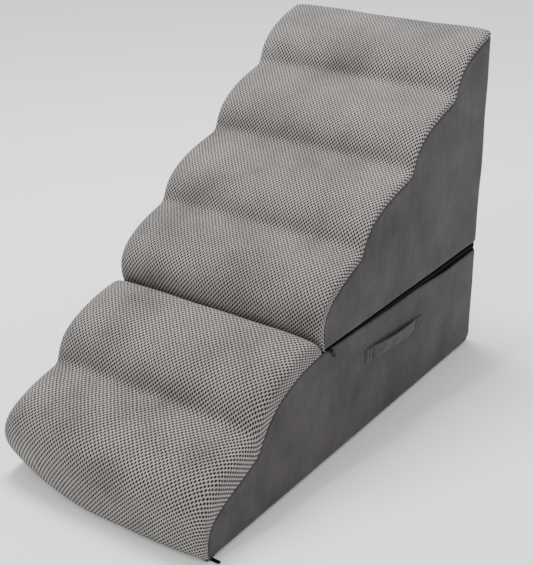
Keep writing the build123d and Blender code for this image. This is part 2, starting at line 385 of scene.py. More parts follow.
@dataclass(frozen=True)
class NetFinish(Finish):
    """Coarse sandwich net: pale twisted yarn round dark staggered holes, their darkness painted shade, with
    the yarn painted lit on its crowns and shaded towards them.
    """

    pitch_across: float = 9.0 * MM
    pitch_along: float = 10.0 * MM
    slot_lean: float = 0.16
    rope: float = 0.36
    # yarn colour of painted shade towards the holes, also used for random darker patches
    yarn_shade_and_dark_patch: Tint = (0.055, 0.051, 0.048, 1.0)
    # yarn colour of painted highlight on the crowns
    yarn_highlight: Tint = (0.415, 0.393, 0.377, 1.0)
    # near-black colour of painted shade inside the net's holes
    shaded_hole: Tint = (0.007, 0.0065, 0.0065, 1.0)
    title: str = "spacer net"

    def dress(self, graph: Graph, surface: bpy.types.Node) -> None:
        """Lays the net out along the cloth, so that it follows every wave."""
        lay = graph.add("ShaderNodeUVMap", uv_map="lay")
        split = graph.add("ShaderNodeSeparateXYZ")
        graph.plug(split.inputs[0], lay.outputs[0])
        across, along = split.outputs[0], split.outputs[1]
        drift = graph.noise(lay.outputs[0], 60.0, 2.0)
        wander = graph.math("MULTIPLY_ADD", drift, 2.2, -1.1)
        turn_a = graph.math("MULTIPLY_ADD", across, math.tau / self.pitch_across, wander)
        turn_b = graph.math("MULTIPLY_ADD", along, math.tau / self.pitch_along, wander)
        cells = graph.math("MULTIPLY", graph.math("COSINE", turn_a), graph.math("COSINE", turn_b))
        slant = graph.math("SUBTRACT", turn_a, turn_b)
        lean = graph.math("COSINE", slant)
        cells = graph.math("MULTIPLY_ADD", lean, self.slot_lean, cells)
        ropes = graph.math("COSINE", graph.math("MULTIPLY", turn_a, 2.0))
        cells = graph.math("MULTIPLY_ADD", ropes, self.rope, cells)
        grain = graph.noise(lay.outputs[0], 420.0, 3.0)
        rough_cells = graph.math("MULTIPLY_ADD", graph.math("SUBTRACT", grain, 0.5), 0.9, cells)
        # where the holes are, which take the painted shade colour
        shaded_hole = graph.ramp(rough_cells, -0.55, 1.1)
        # each ridge is twisted yarn: fine slanting threads, their shine painted into the colour as a
        # highlight
        loose = graph.math("MULTIPLY", grain, 6.0)
        twist = graph.math("SINE", graph.math("MULTIPLY_ADD", slant, 3.0, loose))
        # painted highlight along the slanting threads, over random grain
        painted_shine_and_grain = graph.math("MULTIPLY_ADD", twist, 0.18, graph.ramp(grain, 0.25, 0.75))
        # painted light and shade on the yarn: lighter on its crowns away from the holes, darker down towards
        # them, lighter along the painted shine
        bead_light_and_shade = graph.math("MULTIPLY_ADD", cells, -0.55, graph.math("MULTIPLY", painted_shine_and_grain, 0.6))
        yarn = graph.blend(graph.ramp(bead_light_and_shade, -0.35, 1.15), self.yarn_shade_and_dark_patch, self.yarn_highlight)
        cloud = graph.noise(graph.place(), 9.0, 2.0)
        yarn = graph.blend(graph.ramp(cloud, 0.15, 1.3), yarn, self.yarn_shade_and_dark_patch)
        # painted shade: the holes are coloured near-black
        colour = graph.blend(shaded_hole, yarn, self.shaded_hole)
        height = graph.math("MULTIPLY_ADD", twist, 0.12, graph.math("SUBTRACT", 1.0, shaded_hole))
        normal = self.bump(graph, height, 0.7 * MM, 0.8)
        rough = graph.math("MULTIPLY_ADD", shaded_hole, 0.2, 0.72)
        graph.feed(surface, Base_Color=colour, Roughness=rough, Normal=normal)
        graph.feed(surface, Sheen_Weight=0.05, Sheen_Roughness=0.5, Specular_IOR_Level=0.12)


@dataclass(frozen=True)
class VelvetFinish(Finish):
    """Short-pile grey velvet with soft hand marks and an upright nap."""

    dark: Tint = (0.032, 0.0298, 0.0325, 1.0)
    light: Tint = (0.074, 0.0685, 0.074, 1.0)
    warm: Tint = (0.070, 0.058, 0.058, 1.0)
    title: str = "grey velvet"

    def dress(self, graph: Graph, surface: bpy.types.Node) -> None:
        """Mixes cool and warm greys, and raises a fine pile."""
        mottle = MOTTLE.use(graph, Dark=self.dark, Light=self.light, Spread=1.4)
        warmth = graph.ramp(graph.noise(graph.place(), 4.0, 2.0), 0.45, 0.8)
        colour = graph.blend(graph.math("MULTIPLY", warmth, 0.45), mottle.outputs["Colour"], self.warm)
        fleck = graph.ramp(graph.noise(graph.place((1.0, 1.0, 0.45)), 190.0, 4.0), 0.36, 0.68)
        colour = graph.blend(graph.math("MULTIPLY", fleck, 0.34), colour, self.dark)
        pile = graph.noise(graph.place((1.0, 1.0, 0.4)), 1500.0, 2.0)
        marks = graph.noise(graph.place((1.0, 1.0, 0.5)), 26.0, 3.0)
        height = graph.math("MULTIPLY_ADD", marks, 2.0, graph.math("MULTIPLY", pile, 0.5))
        normal = self.bump(graph, height, 0.35 * MM, 0.7)
        rough = graph.math("MULTIPLY_ADD", mottle.outputs["Patch"], 0.2, 0.76)
        graph.feed(surface, Base_Color=colour, Roughness=rough, Normal=normal)
        graph.feed(surface, Sheen_Weight=0.2, Sheen_Roughness=0.4, Specular_IOR_Level=0.08)


@dataclass(frozen=True)
class WovenFinish(Finish):
    """Plain woven cloth or tape, with threads of a given size."""

    title: str = "woven"
    dark: Tint = (0.02, 0.02, 0.022, 1.0)
    light: Tint = (0.05, 0.05, 0.054, 1.0)
    threads: float = 4200.0
    sheen: float = 0.15
    gloss: float = 0.25

    def dress(self, graph: Graph, surface: bpy.types.Node) -> None:
        """Crosses the threads over soft patches, with shade painted into the dips between them."""
        weave = WEAVE.use(graph, Threads=self.threads)
        mottle = MOTTLE.use(graph, Dark=self.dark, Light=self.light, Spread=1.2)
        # painted shade: the colour is drawn up to 55 % toward the dark tone in the dips between the threads
        share = graph.math("MULTIPLY_ADD", weave.outputs["Mask"], -0.55, 0.55)
        colour = graph.blend(share, mottle.outputs["Colour"], self.dark)
        normal = self.bump(graph, weave.outputs["Height"], 0.12 * MM, 0.6)
        rough = graph.math("MULTIPLY_ADD", mottle.outputs["Patch"], 0.2, 0.72)
        graph.feed(surface, Base_Color=colour, Roughness=rough, Normal=normal)
        graph.feed(surface, Sheen_Weight=self.sheen, Sheen_Roughness=0.5, Specular_IOR_Level=self.gloss)


@dataclass(frozen=True)
class GlossFinish(Finish):
    """A hard part: enamelled metal or moulded nylon, rubbed where it is handled."""

    title: str = "enamel"
    fresh: Tint = (0.012, 0.012, 0.013, 1.0)
    rubbed: Tint = (0.06, 0.06, 0.062, 1.0)
    metal: float = 0.0
    rough: float = 0.3
    wear: float = 0.5
    gloss: float = 0.5

    def dress(self, graph: Graph, surface: bpy.types.Node) -> None:
        """Wears the colour and the gloss in patches."""
        rub = RUB.use(graph, Amount=self.wear)
        colour = graph.blend(rub.outputs["Mask"], self.fresh, self.rubbed)
        rough = graph.math("MULTIPLY_ADD", rub.outputs["Mask"], 0.3, self.rough)
        normal = self.bump(graph, rub.outputs["Height"], 0.03 * MM, 0.5)
        graph.feed(surface, Base_Color=colour, Roughness=rough, Normal=normal)
        graph.feed(surface, Metallic=self.metal, Specular_IOR_Level=self.gloss)


@dataclass(frozen=True)
class FoamFinish(Finish):
    """Cut open-cell foam inside the covers."""

    pale: Tint = (0.62, 0.6, 0.52, 1.0)
    # darkest foam tone, used for random patches and as painted shade in the pits
    dark_tone_and_pit_shade: Tint = (0.38, 0.36, 0.3, 1.0)
    title: str = "cut foam"

    def dress(self, graph: Graph, surface: bpy.types.Node) -> None:
        """Pits the surface with small cells, with shade painted darker in the pits."""
        cells = graph.add("ShaderNodeTexVoronoi")
        graph.feed(cells, Vector=graph.place(), Scale=700.0)
        pits = graph.ramp(cells.outputs["Distance"], 0.05, 0.6)
        mottle = MOTTLE.use(graph, Dark=self.dark_tone_and_pit_shade, Light=self.pale, Spread=1.0)
        # painted shade: the pits' bottoms take the darkest foam colour
        colour = graph.blend(pits, self.dark_tone_and_pit_shade, mottle.outputs["Colour"])
        normal = self.bump(graph, pits, 0.4 * MM)
        graph.feed(surface, Base_Color=colour, Normal=normal, Roughness=0.95)


NET = NetFinish()
VELVET = VelvetFinish()
BASE_CLOTH = WovenFinish(
    "base cloth",
    dark=(0.008, 0.008, 0.0085, 1.0),
    light=(0.02, 0.02, 0.0215, 1.0),
    threads=3600.0,
)
TAPE = WovenFinish(
    "zip tape",
    dark=(0.0012, 0.0012, 0.0014, 1.0),
    light=(0.0035, 0.0035, 0.004, 1.0),
    threads=9000.0,
    sheen=0.0,
    gloss=0.02,
)
THREAD = WovenFinish(
    "sewing thread",
    dark=(0.006, 0.006, 0.0065, 1.0),
    light=(0.02, 0.0195, 0.0205, 1.0),
    threads=14000.0,
    sheen=0.0,
    gloss=0.1,
)
NYLON = GlossFinish(
    "zip nylon",
    fresh=(0.003, 0.003, 0.0034, 1.0),
    rubbed=(0.02, 0.02, 0.022, 1.0),
    rough=0.45,
    wear=0.6,
    gloss=0.12,
)
ENAMEL = GlossFinish(
    "black enamel",
    fresh=(0.003, 0.003, 0.0034, 1.0),
    rubbed=(0.014, 0.014, 0.015, 1.0),
    rough=0.34,
    wear=0.3,
    gloss=0.1,
)
FOAM = FoamFinish()


# ---------------------------------------------------------------- shapes
def run_of(points: np.ndarray) -> np.ndarray:
    """How far along a line each of its points is, starting at 0."""
    return np.concatenate([[0], np.cumsum(np.linalg.norm(np.diff(points, axis=0), axis=1))])


def resample(wanted: np.ndarray, known: np.ndarray, values: np.ndarray) -> np.ndarray:
    """Reads rows of values off between the places where they are known.

    Args:
        wanted: the places to read at.
        known: the places of the rows, rising.
        values: the rows, shaped (n, columns).

    Returns:
        One row for each wanted place.
    """
    return np.stack([np.interp(wanted, known, column) for column in values.T], 1)


def bezier(bend: np.ndarray, t: np.ndarray) -> np.ndarray:
    """Points of cubic curves.

    Args:
        bend: four corner points for each wanted point, shaped (n, 4, 2).
        t: how far along each curve, from 0 to 1.

    Returns:
        The points, shaped (n, 2).
    """
    u = 1 - t
    weights = np.stack([u**3, 3 * u * u * t, 3 * u * t * t, t**3], 1)
    return (bend * weights[:, :, None]).sum(1)


def wave(start: Point, end: Point, rise: Point = (0.07, 0.42), tread: Point = (0.17, 0.70)) -> Bend:
    """One tier: a steep riser, a round nose and a gently climbing tread.

    Args:
        start: the lower notch, as distance from the nose and height.
        end: the upper notch.
        rise: where the riser is pulled to, as shares of the run and the rise.
        tread: where the tread is pulled to.

    Returns:
        The wave's bend.
    """
    run, climb = end[0] - start[0], end[1] - start[1]
    pulled = [(start[0] + run * u, start[1] + climb * v) for u, v in (rise, tread)]
    return (start, pulled[0], pulled[1], end)


@dataclass(frozen=True)
class Profile:
    """A side outline made of bends joined end to end, in distance from the nose and height."""

    bends: tuple[Bend, ...]
    ease: float = 0.010

    @cached_property
    def eased(self) -> tuple[np.ndarray, np.ndarray]:
        """The outline with its notches eased, as foam bridges them.

        Returns:
            Positions, and the points there.
        """
        where = np.linspace(0, len(self.bends), 6000)
        which = np.clip(where.astype(int), 0, len(self.bends) - 1)
        points = bezier(np.array(self.bends)[which], where - which) + (FRONT, 0.0)
        run = run_of(points)
        step = 0.5 * MM
        even = np.arange(0, run[-1], step)
        where = np.interp(even, run, where)
        points = resample(even, run, points)
        reach = int(3 * self.ease / step)
        before = 2 * points[0] - points[reach:0:-1]
        after = 2 * points[-1] - points[-2 : -reach - 2 : -1]
        weights = np.exp(-0.5 * (np.arange(-reach, reach + 1) * step / self.ease) ** 2)
        padded = np.concatenate([before, points, after])
        soft = [np.convolve(padded[:, k], weights / weights.sum(), "valid") for k in range(2)]
        return where, np.stack(soft, 1)

    def at(self, where: np.ndarray) -> np.ndarray:
        """Points along the outline.

        Args:
            where: positions, one unit to each bend.

        Returns:
            The points as (Y, Z) of the ramp, shaped (n, 2).
        """
        return resample(where, *self.eased)

    def evenly(self, count: int, start: float = 0.0) -> np.ndarray:
        """Positions that are evenly spaced by length.

        Args:
            count: how many positions.
            start: where the first one is.

        Returns:
            The positions.
        """
        dense = np.linspace(start, len(self.bends), 4000)
        run = run_of(self.at(dense))
        return np.interp(np.linspace(0, run[-1], count), run, dense)

    def length(self) -> float:
        """The outline's length in metres."""
        return float(run_of(self.at(np.linspace(0, len(self.bends), 4000)))[-1])


@dataclass(frozen=True)
class Ripple:
    """Smooth unevenness: a few long waves in seeded directions."""

    seed: int
    length: float
    height: float
    count: int = 9

    def at(self, points: np.ndarray) -> np.ndarray:
        """The unevenness at points.

        Args:
            points: positions, their last axis being X, Y, Z.

        Returns:
            Offsets in metres.
        """
        dice = np.random.default_rng(self.seed)
        total = np.zeros(points.shape[:-1])
        for _ in range(self.count):
            way = dice.normal(size=3)
            way *= math.tau / (self.length * dice.uniform(0.6, 1.6) * np.linalg.norm(way))
            total += np.sin(points @ way + dice.uniform(0, math.tau))
        return total * self.height / math.sqrt(self.count)


@dataclass(frozen=True)
class SoftBox:
    """Rounds the edges of a block's box, as foam does inside a sewn cover."""

    low: Place
    high: Place
    radius: float
    corner_radius: float = 0.0
    toe_in: tuple[float, float] = (0.0, 0.0)
    toe_height: float = 0.12
    toe_power: float = 1.7
    corner_power: float = 5.0

    def soften(self, points: np.ndarray) -> np.ndarray:
        """Moves points near the box's edges onto rounded ones, and draws in the nose's toes.

        Args:
            points: positions, their last axis being X, Y, Z.

        Returns:
            The moved positions.
        """
        points = points.copy()
        out = np.clip(points[..., 0] / self.high[0], -1, 1)
        low_down = np.clip(1 - points[..., 2] / self.toe_height, 0, 1) ** 2
        near_nose = np.clip(1 - (points[..., 1] - FRONT) / self.toe_height, 0, 1)
        pull = np.where(out < 0, self.toe_in[0], self.toe_in[1]) * np.abs(out) ** self.toe_power
        points[..., 1] += pull * low_down * near_nose
        low, high = np.array(self.low) + self.radius, np.array(self.high) - self.radius
        core = np.clip(points, low, high)
        away = points - core
        reach = np.abs(away).max(-1, keepdims=True)
        size = np.linalg.norm(away, axis=-1, keepdims=True)
        moved = core + away * np.where(size > 1e-9, reach / np.maximum(size, 1e-9), 1.0)
        if not self.corner_radius:
            return moved
        near = np.clip(np.abs(points[..., 0]) / self.high[0], 0, 1) ** self.corner_power
        radius = self.radius + (self.corner_radius - self.radius) * near
        dy = np.maximum(moved[..., 1] - (self.high[1] - radius), 0)
        dz = np.maximum(self.low[2] + radius - moved[..., 2], 0)
        reach, size = np.maximum(dy, dz), np.maximum(np.hypot(dy, dz), 1e-9)
        share = np.where((dy > 0) & (dz > 0), reach / size, 1.0)
        moved[..., 1] -= dy * (1 - share)
        moved[..., 2] += dz * (1 - share)
        return moved


def tuck(distance: np.ndarray, reach: float, depth: float) -> np.ndarray:
    """How far cloth turns in as it nears a seam.

    Args:
        distance: distance from the seam.
        reach: where the turn starts.
        depth: how deep it is at the seam.

    Returns:
        The inward offset.
    """
    near = np.clip(1 - distance / reach, 0, 1)
    return depth * (1 - np.sqrt(np.clip(1 - near**2, 0, 1)))


def normals_of(grid: np.ndarray) -> np.ndarray:
    """Unit normals of a grid of points.

    Args:
        grid: points shaped (rows, columns, 3).

    Returns:
        Normals of the same shape, pointing out where columns cross rows to the right.
    """
    along = np.gradient(grid, axis=0)
    across = np.gradient(grid, axis=1)
    normal = np.cross(across, along)
    size = np.linalg.norm(normal, axis=-1, keepdims=True)
    return normal / np.maximum(size, 1e-12)


def quads(rows: int, columns: int) -> np.ndarray:
    """The quads of a grid, as corner numbers shaped (n, 4)."""
    number = np.arange(rows * columns).reshape(rows, columns)
    corners = (number[:-1, :-1], number[:-1, 1:], number[1:, 1:], number[1:, :-1])
    return np.stack(corners, -1).reshape(-1, 4)


@dataclass
class Piece:
    name: str
    points: np.ndarray
    faces: list
    finish: Finish
    slot: Slot
    body: Body
    replaces: tuple[str, ...] = ()
    lay: np.ndarray | None = None
    fill: float | None = None

    def make(self) -> None:
        mesh = bpy.data.meshes.new(self.name)
        corners = np.concatenate([np.asarray(f).ravel() for f in self.faces]).astype(np.int32)
        sizes = np.concatenate([np.full(len(f), np.asarray(f).shape[1]) for f in self.faces])
        starts = np.concatenate([[0], np.cumsum(sizes)[:-1]]).astype(np.int32)
        mesh.vertices.add(len(self.points))
        mesh.vertices.foreach_set("co", self.points.astype(np.float32).ravel())
        mesh.loops.add(len(corners))
        mesh.loops.foreach_set("vertex_index", corners)
        mesh.polygons.add(len(sizes))
        mesh.polygons.foreach_set("loop_start", starts)
        mesh.polygons.foreach_set("use_smooth", np.ones(len(sizes), bool))
        mesh.update(calc_edges=True)
        mesh.validate()
        if self.lay is not None:
            layer = mesh.uv_layers.new(name="lay")
            loops = np.zeros(len(mesh.loops), np.int32)
            mesh.loops.foreach_get("vertex_index", loops)
            layer.data.foreach_set("uv", self.lay[loops].astype(np.float32).ravel())
        obj = add_object(self.name, mesh)
        mesh.materials.append(self.finish.material())
        if self.replaces:
            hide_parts(*self.replaces)
        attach(obj, self.body.value)
        LOG.info("%s: %d points", self.name, len(self.points))


def shell(grid: np.ndarray, thickness: float, keep: np.ndarray | None = None) -> tuple[np.ndarray, list]:
    """A closed cloth skin: the grid, a copy set in by the thickness, and walls at every edge.

    Args:
        grid: the outer face's points, shaped (rows, columns, 3).
        thickness: the cloth's thickness.
        keep: which quads stay, shaped (rows - 1, columns - 1); all of them when left out.

    Returns:
        The points, and the faces as arrays of corner numbers.
    """
    rows, columns = grid.shape[:2]
    inner = grid - normals_of(grid) * thickness
    points = np.concatenate([grid.reshape(-1, 3), inner.reshape(-1, 3)])
    faces = quads(rows, columns)
    if keep is not None:
        faces = faces[keep.ravel()]
    edges = np.concatenate([faces[:, [k, (k + 1) % 4]] for k in range(4)])
    twins = set(map(tuple, edges[:, ::-1].tolist()))
    rim = np.array([e for e in edges.tolist() if tuple(e) not in twins])
    shift = rows * columns
    walls = np.stack([rim[:, 1], rim[:, 0], rim[:, 0] + shift, rim[:, 1] + shift], 1)
    used = np.unique(faces)
    renumber = np.full(2 * shift, -1)
    renumber[np.concatenate([used, used + shift])] = np.arange(2 * len(used))
    points = points[np.concatenate([used, used + shift])]
    return points, [renumber[f] for f in (faces, faces[:, ::-1] + shift, walls)]


def lined_shell(grid: np.ndarray, inner: np.ndarray, every: int) -> tuple[np.ndarray, list]:
    """A closed skin with a fine outer face and a coarser lining.

    Args:
        grid: the outer points, shaped (rows, columns, 3).
        inner: the lining's points at the same places.
        every: how many outer steps make one lining step.

    Returns:
        The points, and the faces as arrays of corner numbers.
    """
    coarse = inner[::every, ::every]
    outer_no = np.arange(grid.shape[0] * grid.shape[1]).reshape(grid.shape[:2])
    inner_no = np.arange(coarse.shape[0] * coarse.shape[1]).reshape(coarse.shape[:2]) + outer_no.size
    fans = []
    loops = (
        (outer_no[0], inner_no[0]),
        (outer_no[:, -1], inner_no[:, -1]),
        (outer_no[-1, ::-1], inner_no[-1, ::-1]),
        (outer_no[::-1, 0], inner_no[::-1, 0]),
    )
    for fine, plain in loops:
        for k in range(len(plain) - 1):
            run = fine[k * every : (k + 1) * every + 1]
            half = every // 2
            fans += [(run[j + 1], run[j], plain[k]) for j in range(half)]
            fans.append((run[half], plain[k], plain[k + 1]))
            fans += [(run[j + 1], run[j], plain[k + 1]) for j in range(half, every)]
    outer = quads(*grid.shape[:2])
    lining = quads(*coarse.shape[:2])[:, ::-1] + outer_no.size
    points = np.concatenate([grid.reshape(-1, 3), coarse.reshape(-1, 3)])
    return points, [outer, lining, np.array(fans)]


def strip(path: np.ndarray, out: np.ndarray, section: np.ndarray, closed: bool) -> tuple[np.ndarray, list]:
    """A flat strip swept along a path in the level plane.

    Args:
        path: the path's points, shaped (n, 3).
        out: the outward direction at each point, or one for all.
        section: corner offsets as (outward, upward), going round once.
        closed: whether the path returns to its start.

    Returns:
        The points, and the faces as arrays of corner numbers.
    """
    out = np.broadcast_to(out, path.shape)
    rings = path[:, None] + out[:, None] * section[None, :, :1] + UP * section[None, :, 1:]
    count, sides = rings.shape[:2]
    number = np.arange(count * sides).reshape(count, sides)
    after = np.roll(number, -1, 0) if closed else number[1:]
    before = number if closed else number[:-1]
    turned = (before, np.roll(before, -1, 1), np.roll(after, -1, 1), after)
    faces = [np.stack(turned, -1).reshape(-1, 4)]
    if not closed:
        faces += [number[:1, ::-1], number[-1:]]
    return rings.reshape(-1, 3), faces


def beads(
    places: np.ndarray, along: np.ndarray, out: np.ndarray, size: Place
) -> tuple[np.ndarray, list]:
    """Many small rounded blocks, for zip teeth and stitches.

    Args:
        places: their middles, shaped (n, 3).
        along: each one's long direction, or one for all.
        out: each one's outward direction, or one for all.
        size: half sizes along, outward and across.

    Returns:
        The points, and the faces as arrays of corner numbers.
    """
    along, out = (np.broadcast_to(way, places.shape) for way in (along, out))
    side = np.cross(along, out)
    shape, corners = [], 6
    for at, wide in ((-1.0, 0.55), (-0.55, 1.0), (0.55, 1.0), (1.0, 0.55)):
        for k in range(corners):
            turn = math.tau * k / corners
            shape.append((at, wide * math.cos(turn), wide * math.sin(turn)))
    shape = np.array(shape) * size
    whole = (
        places[:, None]
        + along[:, None] * shape[None, :, :1]
        + out[:, None] * shape[None, :, 1:2]
        + side[:, None] * shape[None, :, 2:]
    )
    number = np.arange(len(shape)).reshape(-1, corners)
    after = np.roll(number, -1, 1)
    block = np.stack([number[:-1], after[:-1], after[1:], number[1:]], -1).reshape(-1, 4)
    caps = np.stack([number[0, ::-1], number[-1]])
    shift = (np.arange(len(places)) * len(shape))[:, None, None]
    sides = (block[None] + shift).reshape(-1, 4)
    ends = (caps[None] + shift).reshape(-1, corners)
    return whole.reshape(-1, 3), [sides, ends]


# ---------------------------------------------------------------- the covers
LOWER_CROWN = Profile(
    (
        ((0.0225, 0.0015), (0.0080, 0.0000), (0.0032, 0.0100), (0.0037, 0.0334)),
        ((0.0037, 0.0334), (-0.0059, 0.1517), (0.0227, 0.1620), (0.1690, 0.1850)),
        wave((0.169, 0.185), (0.341, 0.296), (0.03, 0.50), (0.20, 0.80)),
        ((0.341, 0.296), (0.365, 0.299), (0.369, 0.272), (0.3785, 0.2505)),
    )
)
LOWER_SEAM = Profile(
    (
        ((0.0260, 0.0015), (0.0215, 0.0010), (0.0203, 0.0030), (0.0203, 0.0120)),
        ((0.0203, 0.0120), (0.0140, 0.0850), (0.0380, 0.0780), (0.1720, 0.1360)),
        wave((0.172, 0.136), (0.374, 0.2525), (0.14, 0.50), (0.35, 0.88)),
        ((0.374, 0.2525), (0.376, 0.2526), (0.378, 0.2524), (0.3800, 0.2520)),
    )
)
UPPER_NOTCHES = ((0.517, 0.416), (0.705, 0.526), (0.877, 0.640), (1.022, 0.747))
UPPER_TREADS = ((0.17, 0.70), (0.17, 0.70), (0.17, 0.72))
SEAM_DROP = 0.018


def upper_tiers(drop: float) -> tuple[Bend, ...]:
    """The upper block's waves from notch to notch, lowered by a drop."""
    notches = [(distance, height - drop) for distance, height in UPPER_NOTCHES]
    return tuple(wave(*ends, tread=tread) for *ends, tread in zip(notches, notches[1:], UPPER_TREADS))


UPPER_CROWN = Profile(
    (
        ((0.3855, 0.2525), (0.342, 0.335), (0.372, 0.385), UPPER_NOTCHES[0]),
        *upper_tiers(0.0),
        (UPPER_NOTCHES[-1], (1.031, 0.7525), (1.0355, 0.7490), (1.0355, 0.7380)),
    )
)
UPPER_SEAM = Profile(
    (
        ((0.389, 0.258), (0.372, 0.330), (0.400, 0.355), (0.517, 0.416 - SEAM_DROP)),
        *upper_tiers(SEAM_DROP),
        ((1.022, 0.7290), (1.027, 0.7310), (1.0330, 0.7320), (1.0350, 0.7320)),
    )
)
NOSE_BOW = 0.010
NOSE_ROUND = 2.4
LOWER_ZIP_FROM = -0.100
LOWER_ZIP_DEPTH = 0.048
TREAD_EDGE = 0.0245
BEHIND_ZIP = 0.036
LOWER_BOX = SoftBox((-SIDE, -9.0, 0.0), (SIDE, BACK, 9.0), 0.011, 0.026, (0.056, 0.0))
UPPER_BOX = SoftBox((-SIDE, -9.0, -9.0), (SIDE, BACK, 9.0), 0.012)
RIM_AT = np.array([0.374, 0.486, 0.626, 0.742, 0.883, 1.035])
RIM_Z = np.array([0.2525, 0.2495, 0.2448, 0.2443, 0.2360, 0.2385])


@dataclass
class TreadCover:
    """The net that runs over the tiers and wraps down to the side seams."""

    name: str
    crown: Profile
    seam: Profile
    box: SoftBox
    body: Body
    replaces: tuple[str, ...]
    squareness: float = 8.0
    nose_bow: float = 0.0
    nose_squareness: float = 4.0
    row_step: float = 2.5 * MM
    column_step: float = 2.25 * MM
    lining_every: int = 4
    relief: float = 0.42 * MM
    calm_edge: float = 0.03
    thickness: float = 3.0 * MM
    grid: np.ndarray = field(init=False)

    def section(self, drop: np.ndarray, power: np.ndarray, half: int) -> tuple[np.ndarray, np.ndarray]:
        """Where the columns of each row lie, from the middle to the right seam.

        Args:
            drop: each row's distance from crown to seam.
            power: how square each row's section is.
            half: columns on one side of the middle.

        Returns:
            The X of each point, and how far it has dropped as a share.
        """
        turn = np.linspace(0, math.pi / 2, 500)
        xs, shares = [], []
        for fall, square in zip(drop, power):
            x = SIDE * np.sin(turn) ** (2 / square)
            share = 1 - np.cos(turn) ** (2 / square)
            run = run_of(np.stack([x, fall * share], 1))
            even = np.linspace(0, run[-1], half + 1)
            xs.append(np.interp(even, run, x))
            shares.append(np.interp(even, run, share))
        return np.array(xs), np.array(shares)

    def surface(self) -> np.ndarray:
        """The smooth cloth surface, before the net's relief.

        Returns:
            Points shaped (rows, columns, 3), left to right and front to back.
        """
        step = self.lining_every
        rows = step * round(self.crown.length() / self.row_step / step) + 1
        half = step * round((SIDE + 0.03) / self.column_step / step)
        where = self.crown.evenly(rows)
        crown, seam = self.crown.at(where), self.seam.at(where)
        drop = np.linalg.norm(seam - crown, axis=1)
        nose = np.clip(1 - where / 2.2, 0, 1) if self.nose_bow else np.zeros(rows)
        square = self.squareness + (self.nose_squareness - self.squareness) * nose
        x, share = self.section(drop, square, half)
        x = np.concatenate([-x[:, :0:-1], x], 1)
        share = np.concatenate([share[:, :0:-1], share], 1)
        yz = crown[:, None] + (seam - crown)[:, None] * share[:, :, None]
        grid = np.concatenate([x[:, :, None], yz], 2)
        bow = self.nose_bow * np.sin(np.clip(nose * 1.5, 0, 1) * math.pi / 2)
        grid[..., 1] -= bow[:, None] * (1 - np.abs(x / SIDE) ** NOSE_ROUND)
        return self.box.soften(grid)

    def build(self) -> None:
        """Makes the cover."""
        grid = self.surface()
        normal = normals_of(grid)
        rows, columns = grid.shape[:2]
        number = np.arange(columns) - columns // 2
        slack = Ripple(11, 0.16, 1.1 * MM).at(grid)
        from_seam = (columns // 2 - np.abs(number)) * self.column_step
        calm = np.clip(from_seam / self.calm_edge, 0, 1)[None] * np.clip(np.arange(rows) / 12, 0, 1)[:, None]
        grid = grid + normal * (slack * calm - tuck(from_seam, 7 * MM, 2.8 * MM)[None])[..., None]
        self.grid = grid
        turn_a = number * math.tau * self.column_step / NET.pitch_across
        turn_b = np.arange(rows) * math.tau * self.row_step / NET.pitch_along
        cells = np.cos(turn_b)[:, None] * np.cos(turn_a)[None]
        cells = cells + NET.slot_lean * np.cos(turn_a[None] - turn_b[:, None])
        cells = cells + NET.rope * np.cos(2 * turn_a)[None]
        outer = grid - normal * (self.relief * cells)[..., None]
        inner = grid - normal * self.thickness
        points, faces = lined_shell(outer, inner, self.lining_every)
        across, along = np.meshgrid(number * self.column_step, np.arange(rows) * self.row_step)
        lay = np.stack([across, along], -1)
        every = self.lining_every
        lay = np.concatenate([lay.reshape(-1, 2), lay[::every, ::every].reshape(-1, 2)])
        Piece(self.name, points, faces, NET, Slot.MESH, self.body, self.replaces, lay, fill=0.75).make()


@dataclass(frozen=True)
class Pucker:
    """A small gathered spot in a panel: where it is, how wide, and how its creases run."""

    y: float
    z: float
    reach: float
    height: float
    crease: float
    slant: float

    def at(self, y: np.ndarray, z: np.ndarray) -> np.ndarray:
        """How far the cloth stands out at each place."""
        near = np.exp(-((y - self.y) ** 2 + (z - self.z) ** 2) / self.reach**2)
        along = (y - self.y) * math.cos(self.slant) + (z - self.z) * math.sin(self.slant)
        return self.height * near * np.sin(math.tau * along / self.crease)


